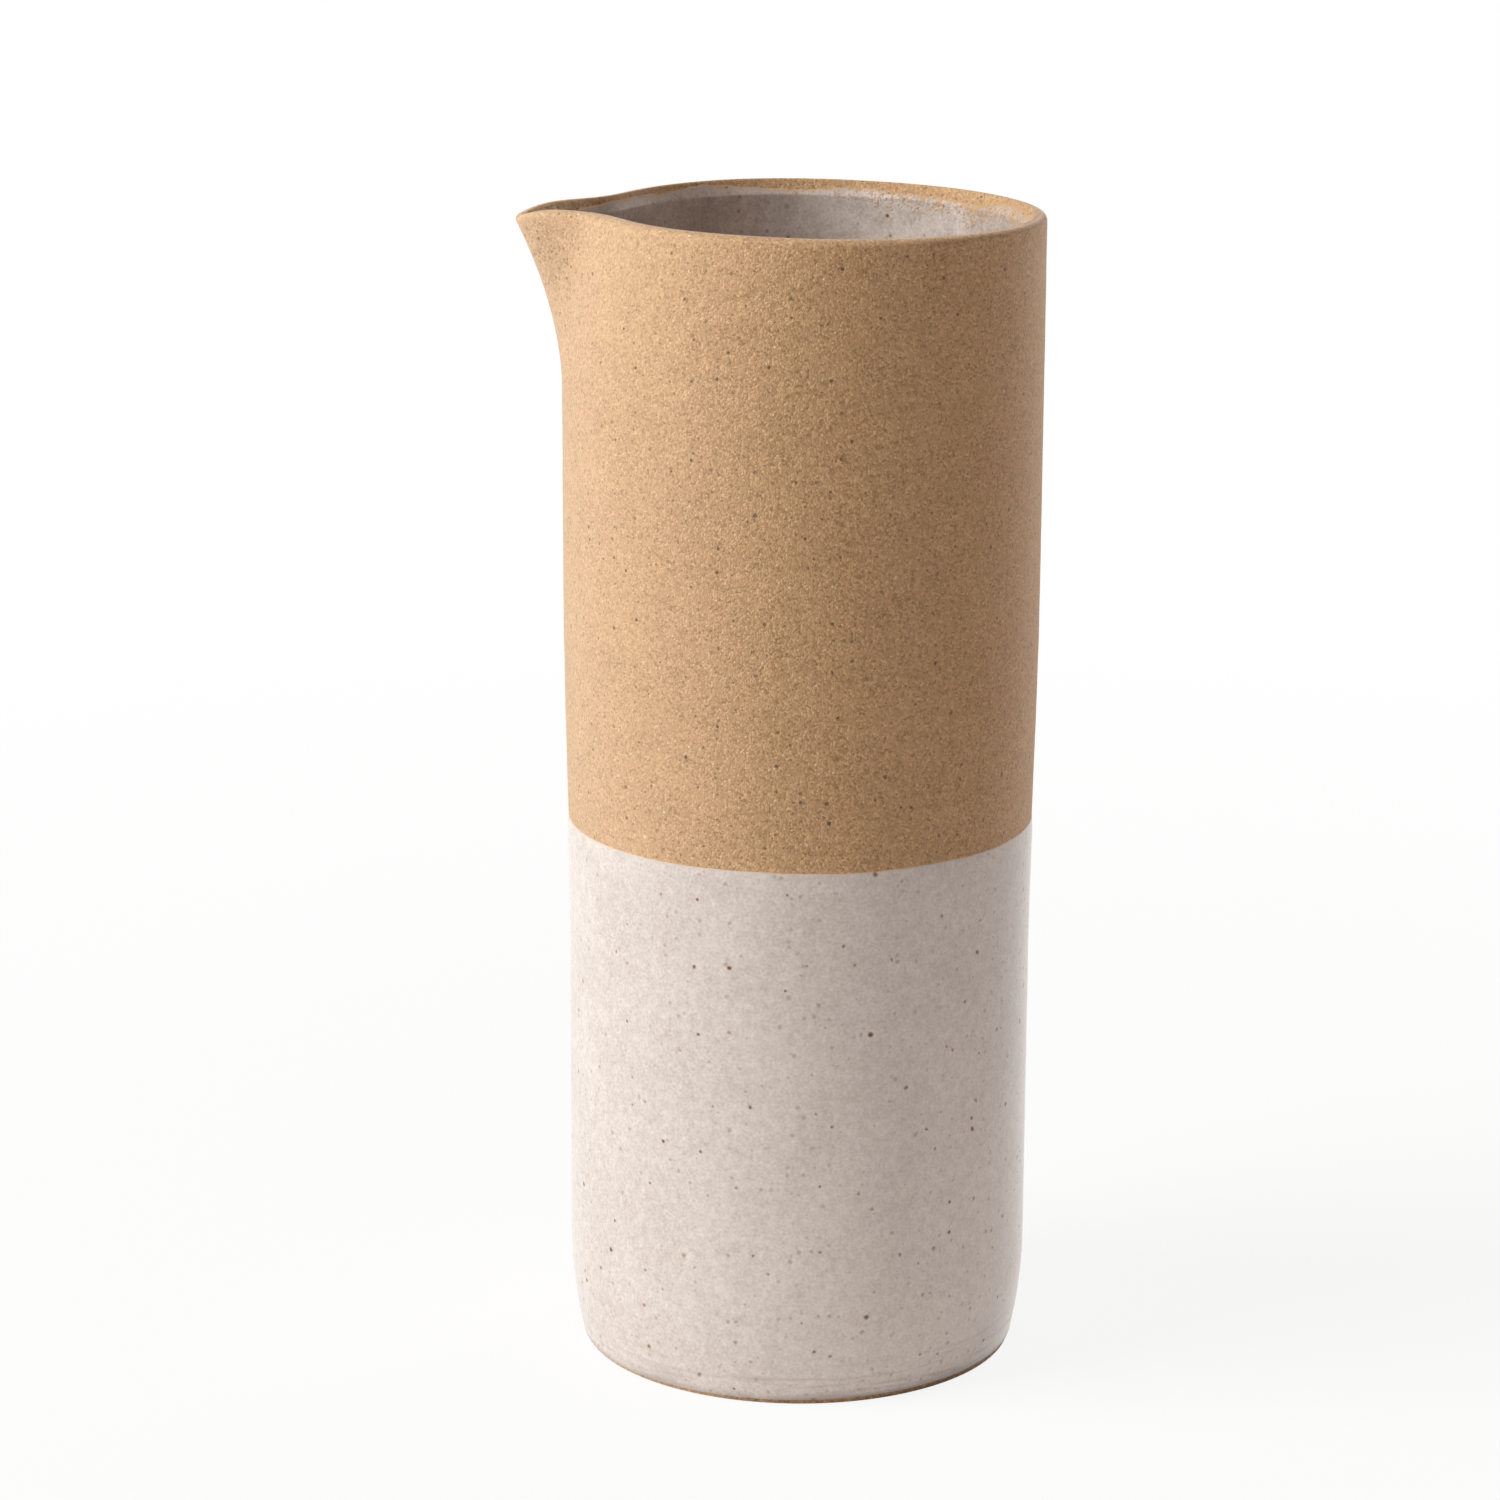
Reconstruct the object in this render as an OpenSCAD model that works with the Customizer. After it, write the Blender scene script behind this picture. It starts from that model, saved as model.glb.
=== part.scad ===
// Stoneware table jug without a handle: a thrown wall, a pulled lip, and glaze on its lower half and inside.
// Millimetres, +Z up. The origin is the middle of the foot, and the lip points to -X.

/* [Body] */
// Height from the foot to the top of the rim at the back
jug_h = 220; // [190:1:260]
// Outside diameter of the upper half, which is bare clay
upper_d = 90; // [84:0.5:110]
// Outside diameter of the clay in the lower half, under its glaze
lower_d = 87.8; // [80:0.2:104]
// Height at which the wall starts to widen
widen_from = 76; // [40:1:100]
// Height at which the wall has its upper diameter
widen_to = 148; // [120:1:155]
// Thickness of the wall
wall_t = 4.5; // [3:0.1:5.5]
// Thickness of the floor
floor_t = 6; // [4:0.5:12]
// Radius of the inside corner between the floor and the wall
floor_corner_r = 9; // [4:0.5:16]

/* [Foot] */
// Height over which the heel curves in to the foot
heel_h = 21; // [12:1:35]
// Distance by which the heel curves in
heel_in = 2.4; // [0.6:0.1:4]
// Rounding of the foot's edge
foot_r = 0.5; // [0.3:0.1:2]

/* [Rim and lip] */
// Thickness to which the wall tapers at the rim
rim_t = 3.1; // [2.4:0.1:4]
// Height of the rounding across the rim
rim_crown = 1.6; // [0.6:0.1:2.6]
// Distance by which the tip of the lip stands out from the round wall
lip_reach = 9; // [4:0.1:12]
// Height over which the lip grows out of the wall
lip_h = 33; // [20:1:40]
// How late the lip curves out over that height: 1 is a straight slope
lip_curve = 1.75; // [1.4:0.05:3]
// Half angle of the pouring channel
lip_angle = 8.2; // [7.6:0.1:14]
// How the channel's sides run: 1 is straight, as in a V, and 2 is a round bell
lip_bow = 1.2; // [1.15:0.05:2]
// Angle over which the tip of the channel is rounded
tip_round = 4; // [3.5:0.5:8]
// Depth to which the wall is pinched in on both sides of the lip
pinch_in = 6.3; // [0:0.1:8]
// Half angle over which the wall is pinched in
pinch_angle = 67; // [45:1:75]
// Height by which the rim rises on the lip's side of the jug
rim_rise = 0.6; // [0:0.05:2]
// Angle from the lip up to which the rim keeps that rise
rise_to = 65; // [45:1:90]
// Angle from the lip at which the rise has faded out
rise_end = 125; // [100:1:160]
// Depth by which the tip of the lip dips below the rim at the back
tip_dip = 1.2; // [0:0.05:1.5]
// Half angle of that dip
tip_angle = 4.5; // [3:0.5:8]

/* [Glaze] */
// Thickness of the glaze
glaze_t = 0.25; // [0.15:0.05:0.6]
// Height of the dip line on the outside
dip_line = 104.8; // [60:0.2:145]
// Height of the bare clay between the foot's rounding and the glaze
bare_foot = 0.2; // [0.1:0.1:4]
// Depth of the bare clay between the rim's rounding and the glaze inside
bare_rim = 0.3; // [0.1:0.1:9]

/* [Hidden] */
$fn = 180;

clay_colour = [0.78, 0.61, 0.44];
glaze_colour = [0.89, 0.86, 0.83];

upper_r = upper_d / 2;
lower_r = lower_d / 2;
mid_r = upper_r - wall_t / 2;
heel_r = (pow(heel_h, 2) + pow(heel_in, 2)) / (2 * heel_in);
rim_base = jug_h - rim_crown;
lip_from = jug_h - lip_h;
glaze_from = foot_r + bare_foot;
liner_to = rim_base - bare_rim;
corner_middle = [lower_r - wall_t - floor_corner_r, floor_t + floor_corner_r];

// Steps along the curves of the outline
heel_steps = 8;
widen_steps = 12;
corner_steps = 8;
foot_steps = 4;
rim_steps = 8;
// Sides and rings of the lip's wall
lip_sides = 120;
lip_rings = 7;
// The lip's wall reaches this far down into the round wall, and steps off its surface this much there
lip_sink = 1;
seam = 0.1;
// The middle of a flat side lies this much nearer to the axis than its corners
side_sag = upper_r * (1 - cos(180 / lip_sides));
// Clearance between the clay and the glaze in the lip, where both have flat sides
lip_gap = 0.03;

// The outline: radius of the wall and of the clay's outside at a height

function ease(t) = t <= 0 ? 0 : t >= 1 ? 1 : t * t * (3 - 2 * t);

function wall_r(z) = lower_r + (upper_r - lower_r) * ease((z - widen_from) / (widen_to - widen_from));

function heel_inset(z) = z >= heel_h ? 0 : heel_r - sqrt(pow(heel_r, 2) - pow(heel_h - z, 2));

function clay_r(z) = wall_r(z) - heel_inset(z);

heel_heights = [for (i = [0 : heel_steps]) heel_h * i / heel_steps];

widen_heights = [for (i = [0 : widen_steps]) widen_from + (widen_to - widen_from) * i / widen_steps];

function between(from, to) =
    concat([from], [for (z = concat(heel_heights, widen_heights)) if (z > from && z < to) z], [to]);

function outside(from, to, coat = 0) = [for (z = between(from, to)) [clay_r(z) + coat, z]];

function foot_edge() = [
    for (i = [0 : foot_steps - 1])
        let (a = -90 + 90 * i / foot_steps)
        [clay_r(foot_r) - foot_r + foot_r * cos(a), foot_r + foot_r * sin(a)]
];

function floor_corner(coat) = [
    for (i = [0 : corner_steps])
        let (a = -90 + 90 * i / corner_steps)
        corner_middle + (floor_corner_r - coat) * [cos(a), sin(a)]
];

function inside(coat = 0) = concat(
    [[0, floor_t + coat]],
    floor_corner(coat),
    [for (z = concat(widen_heights, [lip_from])) [wall_r(z) - wall_t - coat, z]]
);

function reversed(list) = [for (i = [len(list) - 1 : -1 : 0]) list[i]];

// The lip: how far the wall's middle is drawn out, pinched in and lifted, by the angle from the lip's tip

function from_tip(a) = (norm([a, tip_round]) - tip_round) / lip_angle;

function from_tip_slope(a) = a / norm([a, tip_round]) / lip_angle;

function channel(a) = exp(-pow(from_tip(a), lip_bow));

function channel_slope(a) = -channel(a) * lip_bow * pow(from_tip(a), lip_bow - 1) * from_tip_slope(a);

function pinch(a) = exp(-pow(a / pinch_angle, 2));

function pinch_slope(a) = -pinch(a) * 2 * a / pow(pinch_angle, 2);

function pull(a) = (lip_reach + pinch_in) * channel(a) - pinch_in * pinch(a);

function pull_slope(a) =
    180 / PI * ((lip_reach + pinch_in) * channel_slope(a) - pinch_in * pinch_slope(a));

function lift(a) =
    rim_rise * ease((rise_end - abs(a)) / (rise_end - rise_to))
    - (rim_rise + tip_dip) * exp(-pow(a / tip_angle, 2));

function lip_share(z) = z <= lip_from ? 0 : pow((z - lip_from) / lip_h, lip_curve);

// A point of the lip's wall, square to its middle surface by the given distance

function lip_point(a, off, z) =
    let (
        r = mid_r + pull(a) * lip_share(z),
        slope = pull_slope(a) * lip_share(z),
        length = norm([r, slope]),
        out = [-cos(a), -sin(a)],
        along = [sin(a), -cos(a)],
        place = (r + off * r / length) * out - off * slope / length * along
    )
    [place.x, place.y, z + lift(a) * lip_share(z)];

// Sections of the lip's wall, as distances from that middle surface with their heights

function ring_heights(to) = [for (i = [1 : lip_rings]) lip_from + (to - lip_from) * i / lip_rings];

function inner_off(z) = (wall_t - rim_t) * (z - lip_from) / (rim_base - lip_from) - wall_t / 2;

function outer_wall(step) = concat(
    [for (z = [lip_from - lip_sink, lip_from]) [wall_t / 2 - step, z]],
    [for (z = ring_heights(rim_base)) [wall_t / 2, z]]
);

function inner_wall(coat, step, to) = concat(
    [for (z = [lip_from - lip_sink, lip_from]) [step - coat - wall_t / 2, z]],
    [for (z = ring_heights(to)) [inner_off(z) - coat, z]]
);

function rim_arc() = [
    for (i = [1 : rim_steps - 1])
        let (a = 180 * i / rim_steps)
        [(wall_t - rim_t + rim_t * cos(a)) / 2, rim_base + rim_crown * sin(a)]
];

// A closed ring of wall from its section

module lip_ring(section) {
    rows = len(section);
    points = [
        for (p = section)
            for (j = [0 : lip_sides - 1])
                lip_point(360 * j / lip_sides - 180, p.x, p.y)
    ];
    faces = [
        for (i = [0 : rows - 1])
            for (j = [0 : lip_sides - 1])
                let (
                    low = i * lip_sides,
                    high = (i + 1) % rows * lip_sides,
                    next = (j + 1) % lip_sides
                )
                each [
                    [low + j, high + j, high + next],
                    [low + j, high + next, low + next]
                ]
    ];
    polyhedron(points, faces);
}

module clay_body() {
    color(clay_colour)
    union() {
        rotate_extrude()
        polygon(concat([[0, 0]], foot_edge(), outside(foot_r, lip_from), reversed(inside())));
        lip_ring(concat(outer_wall(seam), rim_arc(), reversed(inner_wall(0, seam + side_sag, rim_base))));
    }
}

module outer_glaze() {
    color(glaze_colour)
    rotate_extrude()
    polygon(concat(
        outside(glaze_from, dip_line),
        reversed(outside(glaze_from + glaze_t, dip_line - glaze_t, glaze_t))
    ));
}

module liner_glaze() {
    color(glaze_colour)
    union() {
        rotate_extrude()
        polygon(concat(inside(), reversed(inside(glaze_t))));
        lip_ring(concat(
            inner_wall(lip_gap, -seam, liner_to),
            reversed(inner_wall(glaze_t, -seam, liner_to - glaze_t))
        ));
    }
}

clay_body();
outer_glaze();
liner_glaze();
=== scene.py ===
import bpy
import math
from mathutils import Matrix, Vector, noise


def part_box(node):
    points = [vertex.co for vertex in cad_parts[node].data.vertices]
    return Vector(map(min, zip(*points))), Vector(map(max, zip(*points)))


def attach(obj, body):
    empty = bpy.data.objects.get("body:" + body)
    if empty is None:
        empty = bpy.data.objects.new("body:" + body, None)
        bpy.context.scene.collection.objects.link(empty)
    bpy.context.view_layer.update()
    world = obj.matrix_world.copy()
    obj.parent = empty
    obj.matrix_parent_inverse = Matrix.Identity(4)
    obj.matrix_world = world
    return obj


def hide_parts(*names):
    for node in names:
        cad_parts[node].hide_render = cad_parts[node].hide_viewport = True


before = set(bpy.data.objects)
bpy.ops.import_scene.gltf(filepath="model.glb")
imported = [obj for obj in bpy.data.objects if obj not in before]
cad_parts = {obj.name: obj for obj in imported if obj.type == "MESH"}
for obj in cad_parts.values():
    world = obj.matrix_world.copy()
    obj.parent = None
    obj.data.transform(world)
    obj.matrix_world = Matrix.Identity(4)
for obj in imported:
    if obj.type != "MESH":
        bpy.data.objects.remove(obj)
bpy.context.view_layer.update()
mm = 0.001

# the thrown shape, shared by the clay and its two coats of glaze
jug = {
    "height": 220 * mm,                 # rim at the back
    "upperRadius": 45 * mm,             # bare half
    "lowerRadius": 43.9 * mm,           # clay under the glaze
    "widenFrom": 76 * mm,
    "widenTo": 148 * mm,
    "wall": 4.5 * mm,
    "floor": 6 * mm,
    "floorCorner": 9 * mm,
    "heelHeight": 21 * mm,
    "heelIn": 2.4 * mm,
    "footRound": 0.5 * mm,
    "rimEdge": (1.9 * mm, 1.6 * mm),    # width and height of the rounding outside the crest
    "rimFlat": 0.85,                    # under 1 for a flatter crest
    "crease": (2.3 * mm, 0.3 * mm),     # in from the outside and down from the crest: the bevel starts
    "bevel": (3.75 * mm, 2.8 * mm),     # the same, to where the bevel meets the inner wall
    "steps": 360,                       # sides of the spin
    "outerStep": 1.9 * mm,              # between the points of its outline
    "innerStep": 4 * mm,
    "rimStep": 0.2 * mm,
    "rimTurn": math.pi / 40,
    "footRing": 20 * mm,                # rings of points on the foot and on the floor
    "floorRing": 15 * mm,
    "ringDepth": 0.04 * mm,             # faint rings left by the thrower's fingers
    "ringHeight": 5.5 * mm,
}

lip = {
    "reach": 9 * mm,
    "height": 33 * mm,
    "curve": 1.75,
    "angle": 8.2,                       # degrees, half the pouring channel
    "bow": 1.2,                         # 1 for straight sides, 2 for a round bell
    "tipRound": 4,
    "pinch": 6.3 * mm,                  # the wall is drawn in beside the channel
    "pinchAngle": 67,
    "rise": 0.6 * mm,
    "riseTo": 65,
    "riseEnd": 125,
    "tipDip": 1.2 * mm,
    "tipAngle": 4.5,
    "farDip": 0.25 * mm,                # the rim lies lower opposite the lip
    "farFrom": 110,
    "farOver": 50,
}


def ease(t):
    t = min(max(t, 0), 1)
    return t * t * (3 - 2 * t)


def bell(away, width):
    return math.exp(-(away / width) ** 2)


def wallRadius(z):
    widen = (z - jug["widenFrom"]) / (jug["widenTo"] - jug["widenFrom"])
    return jug["lowerRadius"] + (jug["upperRadius"] - jug["lowerRadius"]) * ease(widen)


def clayRadius(z):
    heel = max(jug["heelHeight"] - z, 0)
    sweep = (jug["heelHeight"] ** 2 + jug["heelIn"] ** 2) / (2 * jug["heelIn"])
    return wallRadius(z) - sweep + math.sqrt(sweep ** 2 - heel ** 2)


# inside of the clay: the wall thins upwards over the lip's height, then a bevel leads to the rim
def innerRadius(z):
    lipFrom = jug["height"] - lip["height"]
    creaseIn, creaseDown = jug["crease"]
    bevelIn, bevelDown = jug["bevel"]
    bevelFrom = jug["height"] - bevelDown
    thinning = min(max((z - lipFrom) / (bevelFrom - lipFrom), 0), 1)
    climb = max((z - bevelFrom) / (bevelDown - creaseDown), 0)
    thickness = jug["wall"] + (bevelIn - jug["wall"]) * thinning + (creaseIn - bevelIn) * climb
    return wallRadius(z) - thickness


def evenly(low, high, step):
    count = max(round(abs((high - low) / step)), 1)
    return [low + (high - low) * i / count for i in range(count + 1)]


def arc(middle, width, height, fromAngle, toAngle, count):
    turns = [math.radians(fromAngle + (toAngle - fromAngle) * i / count) for i in range(count + 1)]
    return [(middle[0] + width * math.cos(t), middle[1] + height * math.sin(t)) for t in turns]


# how far the wall is drawn out by the lip at an angle from its tip
def lipPull(angle):
    fromTip = (math.hypot(angle, lip["tipRound"]) - lip["tipRound"]) / lip["angle"]
    channel = math.exp(-fromTip ** lip["bow"])
    return (lip["reach"] + lip["pinch"]) * channel - lip["pinch"] * bell(angle, lip["pinchAngle"])


# where the pulled lip carries a point of the round wall
def lipPlace(x, y, z):
    lipFrom = jug["height"] - lip["height"]
    share = (max(z - lipFrom, 0) / lip["height"]) ** lip["curve"]
    turn = math.atan2(-y, -x)
    angle = math.degrees(turn)
    middle = jug["upperRadius"] - jug["wall"] / 2
    off = math.hypot(x, y) - middle
    nearby = 0.05                       # degrees, for the slope of the wall
    radius = middle + lipPull(angle) * share
    slope = (lipPull(angle + nearby) - lipPull(angle - nearby)) / math.radians(2 * nearby) * share
    length = math.hypot(radius, slope)
    rise = lip["rise"] * ease((lip["riseEnd"] - abs(angle)) / (lip["riseEnd"] - lip["riseTo"]))
    rise -= (lip["rise"] + lip["tipDip"]) * bell(angle, lip["tipAngle"])
    rise -= lip["farDip"] * ease((abs(angle) - lip["farFrom"]) / lip["farOver"])
    outward = Vector((-math.cos(turn), -math.sin(turn), 0))
    along = Vector((math.sin(turn), -math.cos(turn), 0))
    place = outward * (radius + off * radius / length) - along * (off * slope / length)
    place.z = z + rise * share
    return place


# an outline of (radius, height) points, drawn from one vertex and spun on the wheel's axis
def spinOutline(name, outline, closed):
    bpy.ops.object.select_all(action="DESELECT")
    bpy.ops.mesh.primitive_plane_add(size=1 * mm)
    piece = bpy.context.object
    piece.name = name
    bpy.ops.object.mode_set(mode="EDIT")
    bpy.ops.mesh.merge(type="CENTER")
    points = [Vector((r, 0, z)) for r, z in outline]
    if closed:
        points.append(points[0])
    bpy.ops.transform.translate(value=points[0])
    for start, end in zip(points, points[1:]):
        bpy.ops.mesh.extrude_vertices_move(TRANSFORM_OT_translate={"value": end - start})
    bpy.ops.object.mode_set(mode="OBJECT")
    bpy.ops.object.modifier_add(type="SCREW")
    wheel = piece.modifiers["Screw"]
    wheel.steps = jug["steps"]
    wheel.render_steps = jug["steps"]
    wheel.use_merge_vertices = True
    bpy.ops.object.modifier_apply(modifier="Screw")
    bpy.ops.object.mode_set(mode="EDIT")
    bpy.ops.mesh.select_all(action="SELECT")
    bpy.ops.mesh.remove_doubles(threshold=0.002 * mm)
    bpy.ops.mesh.normals_make_consistent(inside=False)
    bpy.ops.object.mode_set(mode="OBJECT")
    bpy.ops.object.shade_smooth_by_angle(angle=math.radians(50))
    return piece


# an uneven line around the jug, from noise of several sizes and strengths
def unevenLine(side, waves):
    return sum(strength * noise.noise(side * turns) for turns, strength in waves)


# each point is moved by the piece's own touch, then by finger rings and the pulled lip;
# the touch also gives a value that the piece's finish reads
def throwShape(piece, touch, kept):
    lipFrom = jug["height"] - lip["height"]
    values = []
    for vertex in piece.data.vertices:
        x, y, z = vertex.co
        side = Vector((x, y, 0)).normalized()
        radius, z, value = touch(side, math.hypot(x, y), z)
        values.append(value)
        ring = noise.noise(side * 0.7 + Vector((0, 0, z / jug["ringHeight"])))
        radius += ring * jug["ringDepth"] * (radius / jug["upperRadius"]) ** 2
        if z > lipFrom:
            vertex.co = lipPlace(side.x * radius, side.y * radius, z)
        else:
            vertex.co = (side.x * radius, side.y * radius, z)
    piece.data.attributes.new(kept, "FLOAT", "POINT").data.foreach_set("value", values)


def place(piece, node, slot, material):
    piece.data.materials.clear()
    piece.data.materials.append(material)
    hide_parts(node)
    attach(piece, "root")
    print("made", piece.name, len(piece.data.polygons), "faces")


# a socket of a material's tree; sums on it add Math nodes
class Wire:
    def __init__(self, tree, socket=None):
        self.tree = tree
        self.socket = socket

    def add(self, kind, settings, sockets, out=0):
        node = self.tree.nodes.new(kind)
        for name, value in settings.items():
            setattr(node, name, value)
        for name, value in sockets.items():
            if isinstance(value, Wire):
                self.tree.links.new(value.socket, node.inputs[name])
            else:
                node.inputs[name].default_value = value
        return Wire(self.tree, node.outputs[out])

    # another output of the same node
    def other(self, out):
        return Wire(self.tree, self.socket.node.outputs[out])

    def sum(self, operation, first, second, clamp=False):
        settings = {"operation": operation, "use_clamp": clamp}
        return self.add("ShaderNodeMath", settings, {0: first, 1: second})

    def __add__(self, other):
        return self.sum("ADD", self, other)

    def __radd__(self, other):
        return self.sum("ADD", other, self)

    def __sub__(self, other):
        return self.sum("SUBTRACT", self, other)

    def __rsub__(self, other):
        return self.sum("SUBTRACT", other, self)

    def __mul__(self, other):
        return self.sum("MULTIPLY", self, other)

    def __rmul__(self, other):
        return self.sum("MULTIPLY", other, self)

    def __truediv__(self, other):
        return self.sum("DIVIDE", self, other)

    def __lt__(self, other):
        return self.sum("LESS_THAN", self, other)

    def clamped(self):
        return self.sum("ADD", self, 0, clamp=True)

    def mix(self, share, first, second):
        colours = {0: share, 6: first, 7: second}
        return self.add("ShaderNodeMix", {"data_type": "RGBA"}, colours, out=2)

    # noise around 0, with blotches of about the given size
    def noise(self, where, size, detail=2, rough=0.5):
        values = {"Vector": where, "Scale": 1 / size, "Detail": detail, "Roughness": rough}
        return self.add("ShaderNodeTexNoise", {}, values) - 0.5

    # a place pushed about, so that what is drawn there turns uneven
    def uneven(self, where, size, push):
        values = {"Vector": where, "Scale": 1 / size, "Detail": 1}
        cloud = self.add("ShaderNodeTexNoise", {}, values, out="Color")
        values = {0: cloud, 1: (push, push, push), 2: where}
        return self.add("ShaderNodeVectorMath", {"operation": "MULTIPLY_ADD"}, values)

    # a place squeezed around the axis, so that blotches there become lines from the wheel
    def turned(self, where, stretch):
        values = {0: where, 1: (1 / stretch, 1 / stretch, 1)}
        return self.add("ShaderNodeVectorMath", {"operation": "MULTIPLY"}, values)

    # packed grains: a tone of its own for each, around 0, and how it rises to its middle
    def grains(self, where, size):
        dome = self.add("ShaderNodeTexVoronoi", {}, {"Vector": where, "Scale": 1 / size})
        tone = self.add("ShaderNodeSeparateColor", {}, {"Color": dome.other("Color")})
        return tone - 0.5, 0.5 - dome

    # a normal from a height in millimetres
    def bumps(self, height):
        return self.add("ShaderNodeBump", {}, {"Strength": 1.0, "Distance": mm, "Height": height})

    # scattered specks: one in a share of the cells, with its radius and how soft its edge is
    def specks(self, where, cell, radius, soft, share):
        spot = self.add("ShaderNodeTexVoronoi", {}, {"Vector": where, "Scale": 1 / cell})
        chance = self.add("ShaderNodeSeparateColor", {}, {"Color": spot.other("Color")})
        size = chance.other("Green") * 0.8 + 0.6
        reach = (size * (radius / cell) - spot) / (soft / cell)
        return reach.clamped() * (chance < share) * (chance.other("Blue") * 0.6 + 0.4)


def newMaterial(name):
    material = bpy.data.materials.new(name)
    material.use_nodes = True
    shader = material.node_tree.nodes["Principled BSDF"]
    return material, shader, Wire(material.node_tree)


def wired(shader, values):
    for name, wire in values.items():
        wire.tree.links.new(wire.socket, shader.inputs[name])


def objectPlace(shade):
    return shade.add("ShaderNodeTexCoord", {}, {}, out="Object")


bareClay = {
    "pale": (0.775, 0.48, 0.255, 1),
    "deep": (0.31, 0.17, 0.075, 1),
    "paintedLight": (0.88, 0.66, 0.45, 1),     # painted light: a paler colour mixed in towards the lip's side, where the main lamp stands
    "paintedLightShare": 0.19,
    "iron": (0.10, 0.073, 0.055, 1),    # dark specks
    "sand": (0.20, 0.13, 0.07, 1),      # small brown grains
    "stain": (0.11, 0.07, 0.042, 1),
    "spots": (0.20, 0.115, 0.06, 1),    # where it is stained
    "chalk": (0.92, 0.82, 0.69, 1),     # white specks
    "grain": 0.42 * mm,
    "push": (0.5 * mm, 0.16 * mm),      # how unevenly the grains lie: size and distance
    "dust": 0.3 * mm,                   # sizes of finer and broader clouds
    "blotch": 1.1 * mm,
    "cloud": 9 * mm,
    "mottle": 1.3 * mm,
    "turning": (1.6 * mm, 16),          # lines from the wheel: height and stretch
    "sandSpecks": (1.1 * mm, 0.25 * mm, 0.16 * mm),     # cell, radius and soft edge
    "ironSpecks": (2.2 * mm, 0.34 * mm, 0.16 * mm),
    "chalkSpecks": (2.6 * mm, 0.2 * mm, 0.11 * mm),
    "spotSpecks": (0.75 * mm, 0.31 * mm, 0.18 * mm),
    "wipedFrom": 218.3 * mm,            # the rim was wiped smooth
    "wipedOver": 1.2 * mm,
    "roughness": 0.88,
    "gloss": 0.3,
    "sheen": 0.25,
}


def makeBareClay():
    material, shader, shade = newMaterial("bareClay")
    where = objectPlace(shade)
    grainy = shade.uneven(where, *bareClay["push"])
    grainTone, grainDome = shade.grains(grainy, bareClay["grain"])
    dust = shade.noise(where, bareClay["dust"], 1)
    blotch = shade.noise(where, bareClay["blotch"], 2, 0.6)
    cloud = shade.noise(where, bareClay["cloud"], 3)
    mottle = shade.noise(where, bareClay["mottle"], 3, 0.75)
    lineHeight, stretch = bareClay["turning"]
    turning = shade.noise(shade.turned(where, stretch), lineHeight, 2)
    across = shade.add("ShaderNodeSeparateXYZ", {}, {"Vector": where}, out="X")
    wiped = ((across.other("Z") - bareClay["wipedFrom"]) / bareClay["wipedOver"]).clamped()
    sparkle = grainTone * grainTone * grainTone
    tone = 0.5 + grainTone * 0.3 + sparkle * 1.9 + dust * 0.6
    tone = tone + blotch * 0.3 + cloud * 0.25 + turning * 0.12
    colour = shade.mix(tone.clamped(), bareClay["deep"], bareClay["pale"])
    # painted light: the clay turns paler towards the lip's side, where the main lamp stands
    paintedLight = (across / jug["upperRadius"] * -bareClay["paintedLightShare"]).clamped()
    colour = shade.mix(paintedLight, colour, bareClay["paintedLight"])
    sand = shade.specks(grainy, *bareClay["sandSpecks"], share=0.5)
    iron = shade.specks(grainy, *bareClay["ironSpecks"], share=0.65)
    chalk = shade.specks(grainy, *bareClay["chalkSpecks"], share=0.55)
    # the stain attribute: real stains at the lip, and on the foot a stain with painted contact shade
    stain = shade.add("ShaderNodeAttribute", {"attribute_name": "stain"}, {}, out="Fac")
    spots = shade.specks(grainy, *bareClay["spotSpecks"], share=stain * 1.5)
    colour = shade.mix(sand * 0.8, colour, bareClay["sand"])
    colour = shade.mix(iron * 0.9, colour, bareClay["iron"])
    colour = shade.mix(chalk * 0.85, colour, bareClay["chalk"])
    colour = shade.mix((stain * (0.35 + mottle * 3)).clamped(), colour, bareClay["stain"])
    colour = shade.mix(spots * 0.85, colour, bareClay["spots"])
    rough = grainDome * (0.08 + grainTone * 0.16) + dust * 0.1 + blotch * 0.06
    relief = rough * (1 - wiped * 0.6) + turning * 0.04 - iron * 0.03
    wired(shader, {
        "Base Color": colour,
        "Roughness": bareClay["roughness"] + cloud * 0.1,
        "Normal": shade.bumps(relief),
    })
    shader.inputs["Specular IOR Level"].default_value = bareClay["gloss"]
    shader.inputs["Sheen Weight"].default_value = bareClay["sheen"]
    return material


# what both glazes share
glazeMix = {
    "fleck": 0.55 * mm,                 # sizes of its fine and broader clouds
    "cloud": 1.9 * mm,
    "push": (0.7 * mm, 0.45 * mm),      # how uneven the specks are: size and distance
    "dustSpecks": (1.3 * mm, 0.2 * mm, 0.2 * mm),       # cell, radius and soft edge
    "ashSpecks": (1.9 * mm, 0.42 * mm, 0.28 * mm),
    "rustSpecks": (3.2 * mm, 0.5 * mm, 0.24 * mm),
    "ironSpecks": (3.2 * mm, 0.36 * mm, 0.18 * mm),
    "crowd": (0.6, 0.18),               # share of cells with an iron speck, and more away from the lip
}

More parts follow.
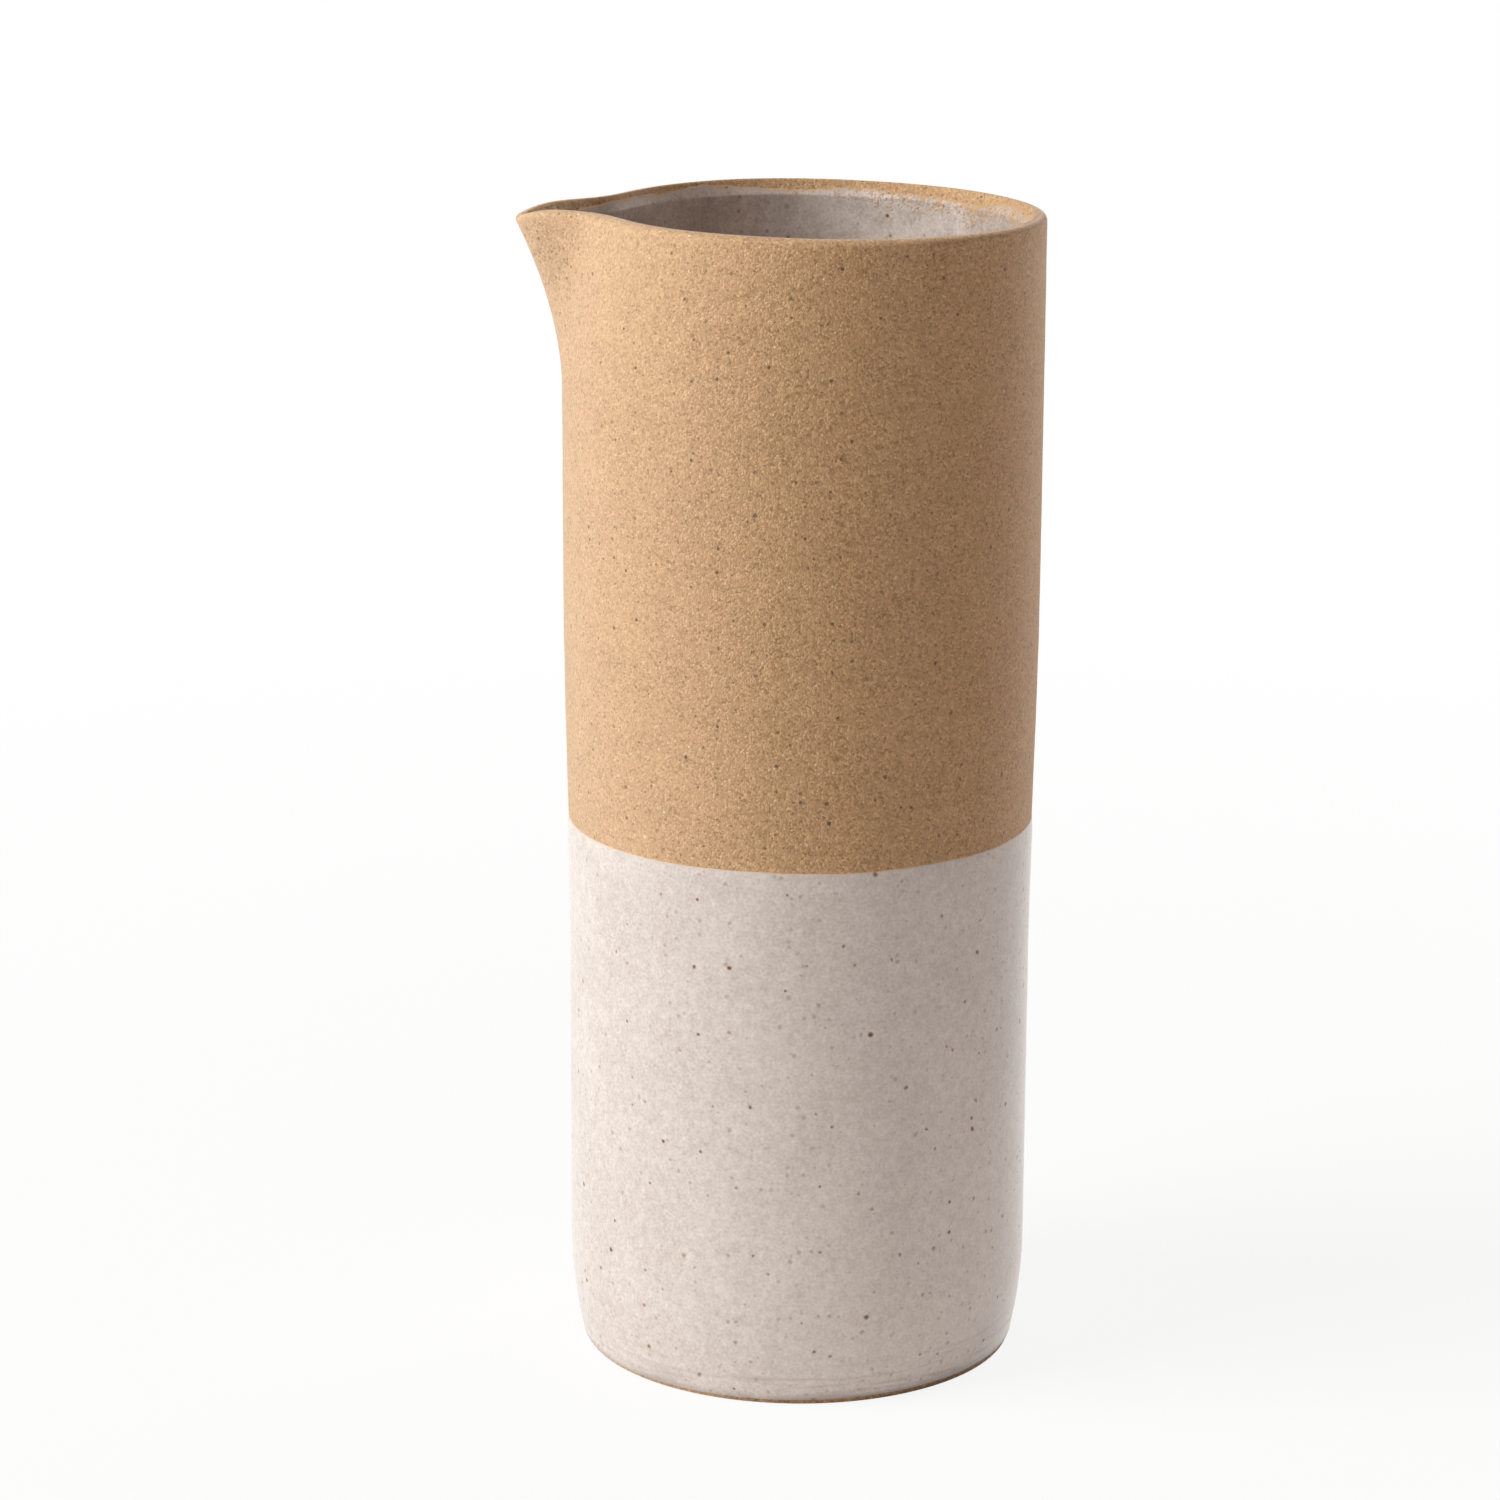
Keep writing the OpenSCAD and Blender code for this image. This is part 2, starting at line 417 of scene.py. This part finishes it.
outerFinish = {
    "pale": (0.86, 0.775, 0.71, 1),
    "deep": (0.45, 0.365, 0.315, 1),
    "iron": (0.07, 0.042, 0.026, 1),    # crisp specks
    "rust": (0.50, 0.24, 0.07, 1),      # their edges
    "ash": (0.33, 0.255, 0.21, 1),      # soft specks under the surface
    "clay": (0.74, 0.43, 0.19, 1),      # shows through a thin edge
    "thinEdge": 0.4 * mm,
    "drift": (14 * mm, 0.32),           # size and strength of its broad clouds
    "roughness": 0.22,
    "paleFrom": 100 * mm,               # below this height the glaze grows paler
    "lift": 0.2,
    "lean": 0.25,                       # more so away from the lip: painted light on the side in shade
    "farShade": 0,
    "brown": (0.16, 0.10, 0.065, 1),    # painted contact shadow at the foot
    "paintedShadowTo": 2.8 * mm,
    "paintedShadowOver": 2 * mm,
    "paintedShadowLean": 0.01,                  # the painted shadow climbs a little away from the lip
    "paintedShadowShare": (0.6, 0.588),         # strength in the middle, and more of it away from the lip
    "turning": (1.3 * mm, 14),          # lines from the wheel: height and stretch
    "turningTo": 12 * mm,
    "turningOver": 8 * mm,
    "ior": 1.56,
}

linerFinish = {
    "pale": (0.86, 0.74, 0.66, 1),
    "deep": (0.365, 0.285, 0.235, 1),
    "iron": (0.07, 0.042, 0.026, 1),
    "rust": (0.50, 0.24, 0.07, 1),
    "ash": (0.28, 0.215, 0.175, 1),
    "clay": (0.56, 0.32, 0.145, 1),
    "thinEdge": 0.6 * mm,
    "drift": (8 * mm, 0.8),
    "paleFrom": 100 * mm,
    "lift": 0,
    "lean": 0,
    "farShade": -0.35,                   # painted shade inside: darker in the lip and opposite it
    "wornDepth": 4 * mm,                # clay grains break through down to this depth
    "wornPatch": 5 * mm,                # sizes of their patches and of the grains
    "wornGrain": 0.75 * mm,
    "wornSpecks": (0.8 * mm, 0.3 * mm, 0.15 * mm),
    "mottle": 1.3 * mm,
    "stain": (0.13, 0.085, 0.055, 1),   # brown, in the lip
    "stainFrom": 40 * mm,               # from the axis
    "stainOver": 9 * mm,
    "roughness": 0.36,
}


# mottled glaze with specks, thin at its edge: its colour, its relief and its roughness
def mixGlaze(shade, finish):
    where = objectPlace(shade)
    fleck = shade.noise(where, glazeMix["fleck"], 1)
    cloud = shade.noise(where, glazeMix["cloud"], 3, 0.6)
    driftSize, driftShare = finish["drift"]
    drift = shade.noise(where, driftSize, 2)
    across = shade.add("ShaderNodeSeparateXYZ", {}, {"Vector": where}, out="X")
    far = across / jug["upperRadius"]
    low = ((finish["paleFrom"] - across.other("Z")) / finish["paleFrom"]).clamped()
    tone = 0.5 + fleck * 0.72 + cloud * 0.65 + drift * driftShare
    # painted light: the lower glaze is paler on the side away from the lamp
    # painted shade: the liner turns darker towards the lip and opposite it
    tone = tone + low * (finish["lift"] + far * finish["lean"]) + far * far * finish["farShade"]
    colour = shade.mix(tone.clamped(), finish["deep"], finish["pale"])
    blotted = shade.uneven(where, *glazeMix["push"])
    dust = shade.specks(where, *glazeMix["dustSpecks"], share=0.35)
    ash = shade.specks(blotted, *glazeMix["ashSpecks"], share=0.7)
    crowdMiddle, crowdLean = glazeMix["crowd"]
    crowd = crowdMiddle + far * crowdLean
    rust = shade.specks(blotted, *glazeMix["rustSpecks"], share=crowd)
    iron = shade.specks(blotted, *glazeMix["ironSpecks"], share=crowd)
    colour = shade.mix(dust * 0.3, colour, finish["ash"])
    colour = shade.mix(ash * 0.65, colour, finish["ash"])
    colour = shade.mix(rust * 0.75, colour, finish["rust"])
    colour = shade.mix(iron * 0.92, colour, finish["iron"])
    depth = shade.add("ShaderNodeAttribute", {"attribute_name": "edgeDepth"}, {}, out="Fac")
    thin = (1 + fleck * 3 + cloud * 2 - depth / finish["thinEdge"]).clamped()
    colour = shade.mix(thin * 0.9, colour, finish["clay"])
    relief = drift * 0.08 + cloud * 0.006 + fleck * 0.005 - iron * 0.008
    return where, depth, colour, relief, finish["roughness"] + cloud * 0.12


# turning lines, and a painted contact shadow near the foot that is darker away from the lip
def makeOuterFinish():
    material, shader, shade = newMaterial("outerFinish")
    where, _, colour, relief, roughness = mixGlaze(shade, outerFinish)
    across = shade.add("ShaderNodeSeparateXYZ", {}, {"Vector": where}, out="X")
    height = across.other("Z")
    lineHeight, stretch = outerFinish["turning"]
    turning = shade.noise(shade.turned(where, stretch), lineHeight, 2)
    lines = turning * ((outerFinish["turningTo"] - height) / outerFinish["turningOver"]).clamped()
    colour = shade.mix((lines * 2.5).clamped(), colour, outerFinish["deep"])
    # painted contact shadow: darker towards the foot, and on the side away from the lamp
    foot = outerFinish["paintedShadowTo"] + across * outerFinish["paintedShadowLean"] - height
    foot = (foot / outerFinish["paintedShadowOver"]).clamped()
    shadowMiddleShare, shadowFarShare = outerFinish["paintedShadowShare"]
    share = (shadowMiddleShare + across / jug["upperRadius"] * shadowFarShare).clamped()
    colour = shade.mix(foot * foot * share, colour, outerFinish["brown"])
    wired(shader, {
        "Base Color": colour,
        "Roughness": roughness,
        "Normal": shade.bumps(relief + lines * 0.08),
    })
    shader.inputs["IOR"].default_value = outerFinish["ior"]
    return material


# clay grains that break through under the rim, mostly away from the lip
def makeLinerFinish():
    material, shader, shade = newMaterial("linerFinish")
    where, depth, colour, relief, roughness = mixGlaze(shade, linerFinish)
    across = shade.add("ShaderNodeSeparateXYZ", {}, {"Vector": where}, out="X")
    far = across / jug["upperRadius"]
    patch = shade.noise(where, linerFinish["wornPatch"], 2) * 3
    grain = shade.noise(where, linerFinish["wornGrain"], 2, 0.6) * 8
    worn = (far * 1.9 - 0.4 + patch + grain - depth / linerFinish["wornDepth"] * 1.4).clamped()
    colour = shade.mix(worn * 0.8, colour, linerFinish["clay"])
    spots = shade.specks(where, *linerFinish["wornSpecks"], share=worn * 0.5)
    colour = shade.mix(spots * 0.7, colour, linerFinish["stain"])
    mottle = shade.noise(where, linerFinish["mottle"], 3, 0.75)
    inLip = ((across * -1 - linerFinish["stainFrom"]) / linerFinish["stainOver"]).clamped()
    colour = shade.mix((inLip * (1 + mottle * 5)).clamped(), colour, linerFinish["stain"])
    edge = (1 - depth / linerFinish["wornDepth"]).clamped()
    wired(shader, {
        "Base Color": colour,
        "Roughness": roughness + worn * 0.2 + edge * 0.35,
        "Normal": shade.bumps(relief + worn * 0.06),
    })
    return material


rimMark = {
    "in": 1.5 * mm,             # from the outside to a shallow groove on the rim
    "width": 0.3 * mm,
    "depth": 0.2 * mm,
    "turn": -8,                 # degrees, where it is deepest, from the side opposite the lip
    "spread": 24,
}

# stains on the clay; on the bare foot also painted contact shade
stainsAndFootShade = {
    "lipAngle": 15,             # brown inside the lip
    "lipIn": 1.9 * mm,
    "lipFade": 0.8 * mm,
    "lipDepth": 20 * mm,
    "tipTurn": -8,              # and faint outside, beside its tip
    "tipWidth": 7,
    "tipHeight": 211 * mm,
    "tipSpread": 7 * mm,
    "tip": 0.3,
    "footHeight": 1.4 * mm,     # and on the bare foot: a stain with painted contact shade, less so below the lip
    "footFade": 0.4 * mm,
    "foot": 0.66,
    "footShadeLean": 0.8,
}


def makeClayBody(material):
    wall = jug["wall"]
    crest = jug["height"]
    outer = jug["upperRadius"]
    footRound = jug["footRound"]
    edgeWidth, edgeHeight = jug["rimEdge"]
    creaseIn, creaseDown = jug["crease"]
    bevelFrom = crest - jug["bevel"][1]
    footRadius = clayRadius(footRound) - footRound
    cornerRadius = jug["floorCorner"]
    cornerMiddle = (jug["lowerRadius"] - wall - cornerRadius, jug["floor"] + cornerRadius)
    outline = [(0, 0), (jug["footRing"], 0)]
    outline += arc((footRadius, footRound), footRound, footRound, -90, 0, 5)
    outline += [(clayRadius(z), z) for z in evenly(footRound, crest - edgeHeight, jug["outerStep"])[1:]]
    for turn in evenly(0, math.pi / 2, jug["rimTurn"])[1:]:
        inward = 1 - math.cos(turn) ** jug["rimFlat"]
        down = 1 - math.sin(turn) ** jug["rimFlat"]
        outline.append((outer - edgeWidth * inward, crest - edgeHeight * down))
    for share in (0.2, 0.4, 0.6, 0.8):
        inward = edgeWidth + (creaseIn - edgeWidth) * share
        outline.append((outer - inward, crest - creaseDown * share ** 2))
    outline += [(innerRadius(z), z) for z in evenly(crest - creaseDown, bevelFrom, jug["rimStep"])]
    outline += [(innerRadius(z), z) for z in evenly(bevelFrom, cornerMiddle[1], jug["innerStep"])[1:]]
    outline += arc(cornerMiddle, cornerRadius, cornerRadius, 0, -90, 8)[1:]
    outline += [(jug["floorRing"], jug["floor"]), (0, jug["floor"])]
    piece = spinOutline("clayBody", outline, closed=False)

    def wipedClay(side, radius, z):
        fromLip = math.degrees(math.atan2(side.y, -side.x))
        # the bare foot: a stain, and painted contact shade that grows away from the lip
        stain = stainsAndFootShade["foot"] * ease((stainsAndFootShade["footHeight"] - z) / stainsAndFootShade["footFade"])
        stain *= min(1 + side.x * stainsAndFootShade["footShadeLean"], 1)
        besideTip = bell(fromLip - stainsAndFootShade["tipTurn"], stainsAndFootShade["tipWidth"])
        stain += stainsAndFootShade["tip"] * besideTip * bell(z - stainsAndFootShade["tipHeight"], stainsAndFootShade["tipSpread"])
        if z > crest - stainsAndFootShade["lipDepth"] and radius < outer - edgeWidth / 2:
            down = ease((outer - stainsAndFootShade["lipIn"] - radius) / stainsAndFootShade["lipFade"])
            stain = bell(fromLip, stainsAndFootShade["lipAngle"]) * down * ease((z - crest) / stainsAndFootShade["lipDepth"] + 1)
            turn = math.degrees(math.atan2(side.y, side.x)) - rimMark["turn"]
            across = bell(outer - rimMark["in"] - radius, rimMark["width"])
            z -= rimMark["depth"] * across * bell(turn, rimMark["spread"])
        return radius, z, stain

    throwShape(piece, wipedClay, "stain")
    place(piece, "clay_body", "clay", material)


outerCoat = {
    "thickness": 0.25 * mm,
    "bite": 0.05 * mm,          # how far its back lies in the clay
    "bare": 0.15 * mm,          # wiped clean above the foot
    "bareFar": 0.3 * mm,        # more of it away from the lip, less below it
    "bareReach": 4 * mm,
    "wave": 0.15 * mm,          # unevenness of the dip line
    "waves": ((2.3, 1), (9, 0.5), (40, 0.3)),
    "waveReach": 12 * mm,
    "bead": 3.5 * mm,           # height over which it thins to its edge
    "backStep": 6 * mm,         # between the points of its outline
    "frontStep": 1.5 * mm,
}


def makeOuterGlaze(material):
    low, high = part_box("outer_glaze")
    coat = outerCoat["thickness"]
    start = low.z + outerCoat["bare"]
    back = [(clayRadius(z) - outerCoat["bite"], z) for z in evenly(start, high.z, outerCoat["backStep"])]
    bottom = start + coat
    top = high.z - outerCoat["bead"]
    front = [(clayRadius(z) + coat, z) for z in evenly(top, bottom, outerCoat["frontStep"])]
    crown = arc((clayRadius(top), top), coat, outerCoat["bead"], 90, 0, 10)[:-1]
    piece = spinOutline("outerGlaze", back + crown + front, closed=True)

    def dipLine(side, radius, z):
        share = ease(1 - (high.z - z) / outerCoat["waveReach"])
        moved = z + outerCoat["wave"] * unevenLine(side, outerCoat["waves"]) * share
        moved += outerCoat["bareFar"] * side.x * ease(1 - (z - start) / outerCoat["bareReach"])
        return radius + clayRadius(moved) - clayRadius(z), moved, high.z - z

    throwShape(piece, dipLine, "edgeDepth")
    place(piece, "outer_glaze", "glaze", material)


linerCoat = {
    "thickness": 0.25 * mm,
    "bite": 0.05 * mm,
    "edgeDown": 0.9 * mm,       # its upper edge below the crest, beside the lip
    "edgeReach": 12 * mm,       # what moves the edge fades out over this depth
    "ragged": 0.5 * mm,         # unevenness of that edge
    "waves": ((3.1, 1), (11, 0.6), (37, 0.5)),
    "farLower": 1.2 * mm,       # the edge lies lower away from the lip
    "farFrom": 60,              # degrees from the lip
    "farOver": 35,
    "endHigher": 1.2 * mm,      # but not right opposite it
    "endFrom": 140,
    "endOver": 20,
    "splash": 0.8 * mm,         # and higher in one place
    "splashTurn": 107,
    "splashWidth": 14,
    "lipLower": 1.2 * mm,       # it drops in the lip
    "lipAngle": 24,
    "bead": 1.2 * mm,
    "backStep": 6 * mm,
    "frontStep": 3 * mm,
    "fineDepth": 6 * mm,        # finer points down to here
    "fineBackStep": 0.3 * mm,
    "fineFrontStep": 0.2 * mm,
}


def makeLinerGlaze(material):
    coat = linerCoat["thickness"]
    bite = linerCoat["bite"]
    topEdge = jug["height"] - linerCoat["edgeDown"]
    cornerRadius = jug["floorCorner"]
    cornerMiddle = (jug["lowerRadius"] - jug["wall"] - cornerRadius, jug["floor"] + cornerRadius)
    wallFrom = cornerMiddle[1]
    beadFrom = topEdge - linerCoat["bead"]
    fineFrom = topEdge - linerCoat["fineDepth"]
    back = [(0, jug["floor"] - bite)]
    back += arc(cornerMiddle, cornerRadius + bite, cornerRadius + bite, -90, 0, 8)
    backHeights = evenly(wallFrom, fineFrom, linerCoat["backStep"])[1:]
    backHeights += evenly(fineFrom, topEdge, linerCoat["fineBackStep"])[1:]
    back += [(innerRadius(z) + bite, z) for z in backHeights]
    front = []
    for degrees in range(90, 0, -11):   # over the rounded bead at its edge
        turn = math.radians(degrees)
        z = beadFrom + linerCoat["bead"] * math.sin(turn)
        front.append((innerRadius(z) - coat * math.cos(turn), z))
    frontHeights = evenly(beadFrom, fineFrom, linerCoat["fineFrontStep"])
    frontHeights += evenly(fineFrom, wallFrom, linerCoat["frontStep"])[1:]
    front += [(innerRadius(z) - coat, z) for z in frontHeights]
    front += arc(cornerMiddle, cornerRadius - coat, cornerRadius - coat, 0, -90, 8)[1:]
    front += [(jug["floorRing"], jug["floor"] + coat), (0, jug["floor"] + coat)]
    piece = spinOutline("linerGlaze", back + front, closed=False)

    def raggedEdge(side, radius, z):
        share = ease(1 - (topEdge - z) / linerCoat["edgeReach"])
        wave = unevenLine(side, linerCoat["waves"])
        fromLip = math.degrees(math.atan2(side.y, -side.x))
        down = linerCoat["farLower"] * ease((abs(fromLip) - linerCoat["farFrom"]) / linerCoat["farOver"])
        down -= linerCoat["endHigher"] * ease((abs(fromLip) - linerCoat["endFrom"]) / linerCoat["endOver"])
        down += linerCoat["lipLower"] * ease(1 - abs(fromLip) / linerCoat["lipAngle"])
        down -= linerCoat["splash"] * bell(fromLip - linerCoat["splashTurn"], linerCoat["splashWidth"])
        moved = z + (linerCoat["ragged"] * wave - down) * share
        return radius + innerRadius(moved) - innerRadius(z), moved, topEdge - z

    throwShape(piece, raggedEdge, "edgeDepth")
    place(piece, "liner_glaze", "glaze", material)


studio = {
    "lens": 108,                        # millimetres, as the sensor's width
    "sensor": 36,
    "eye": (0, -832 * mm, 330.2 * mm),
    "pitch": 14.403,                    # degrees down
    "yaw": 0.663,
    "roll": 0.226,
    "floorRadius": 8,
    "floorColour": (0.86, 0.82, 0.79, 1),
    "floorWhite": 0.88,                 # how much of the floor that the camera sees is plain white
    "shadowRadius": 0.12,               # all of it is, further out
    "shadowFade": 0.5,
    "sky": 0.237,
    "skyColour": (1, 0.885, 0.845, 1),
}


def makeCamera():
    data = bpy.data.cameras.new("photoCamera")
    data.lens = studio["lens"]
    data.sensor_width = studio["sensor"]
    data.clip_end = 50
    camera = bpy.data.objects.new("photoCamera", data)
    bpy.context.scene.collection.objects.link(camera)
    turn = Matrix.Rotation(math.radians(studio["yaw"]), 4, "Z")
    turn = turn @ Matrix.Rotation(math.radians(90 - studio["pitch"]), 4, "X")
    turn = turn @ Matrix.Rotation(math.radians(studio["roll"]), 4, "Z")
    camera.matrix_world = Matrix.Translation(studio["eye"]) @ turn
    bpy.context.scene.camera = camera


# rays that see the plain white instead of the lit surface
def seenRays(shade):
    camera = shade.add("ShaderNodeLightPath", {}, {}, out="Is Camera Ray")
    return (camera + camera.other("Is Glossy Ray") + camera.other("Is Transmission Ray")).clamped()


def makeFloor():
    bpy.ops.object.select_all(action="DESELECT")
    bpy.ops.mesh.primitive_circle_add(vertices=64, radius=studio["floorRadius"], fill_type="NGON")
    floor = bpy.context.object
    floor.name = "studioFloor"
    material = bpy.data.materials.new("studioFloor")
    material.use_nodes = True
    tree = material.node_tree
    tree.nodes.remove(tree.nodes["Principled BSDF"])
    shade = Wire(tree)
    lit = shade.add("ShaderNodeBsdfDiffuse", {}, {"Color": studio["floorColour"]})
    white = shade.add("ShaderNodeEmission", {}, {"Color": (1, 1, 1, 1), "Strength": 1})
    away = shade.add("ShaderNodeVectorMath", {"operation": "LENGTH"}, {0: objectPlace(shade)}, out="Value")
    fade = ((away - studio["shadowRadius"]) / studio["shadowFade"]).clamped()
    share = seenRays(shade) * (studio["floorWhite"] + (1 - studio["floorWhite"]) * fade)
    both = shade.add("ShaderNodeMixShader", {}, {0: share, 1: lit, 2: white})
    tree.links.new(both.socket, tree.nodes["Material Output"].inputs["Surface"])
    floor.data.materials.append(material)


def makeWorld():
    world = bpy.data.worlds.new("studioSky")
    world.use_nodes = True
    bpy.context.scene.world = world
    shade = Wire(world.node_tree)
    background = world.node_tree.nodes["Background"]
    seen = seenRays(shade)
    colour = shade.mix(seen, studio["skyColour"], (1, 1, 1, 1))
    strength = seen + (1 - seen) * studio["sky"]
    world.node_tree.links.new(colour.socket, background.inputs["Color"])
    world.node_tree.links.new(strength.socket, background.inputs["Strength"])


lamps = {
    "window": {
        "turn": -75, "climb": 35, "distance": 3, "size": 1.8, "watts": 108, "colour": (0.955, 1, 1.025),
    },
    "rightCard": {
        "turn": 143, "climb": 10, "distance": 2.6, "size": 1, "watts": 30, "colour": (1, 0.985, 0.96),
    },
}


# turn is measured from the camera's side of the jug, positive to its right
def makeLamps():
    aim = Vector((0, 0, jug["height"] / 2))
    for name, lamp in lamps.items():
        data = bpy.data.lights.new(name, "AREA")
        data.size = lamp["size"]
        data.energy = lamp["watts"]
        data.color = lamp["colour"]
        light = bpy.data.objects.new(name, data)
        bpy.context.scene.collection.objects.link(light)
        turn = math.radians(lamp["turn"])
        climb = math.radians(lamp["climb"])
        level = math.cos(climb)
        away = Vector((math.sin(turn) * level, -math.cos(turn) * level, math.sin(climb)))
        light.location = aim + away * lamp["distance"]
        light.rotation_euler = away.to_track_quat("Z", "Y").to_euler()


makeCamera()
makeFloor()
makeWorld()
makeLamps()
print("stage is set")
clay = makeBareClay()
outerGlaze = makeOuterFinish()
linerGlaze = makeLinerFinish()
print("materials are mixed")
makeClayBody(clay)
makeOuterGlaze(outerGlaze)
makeLinerGlaze(linerGlaze)

bpy.context.scene.view_settings.view_transform = "Standard"
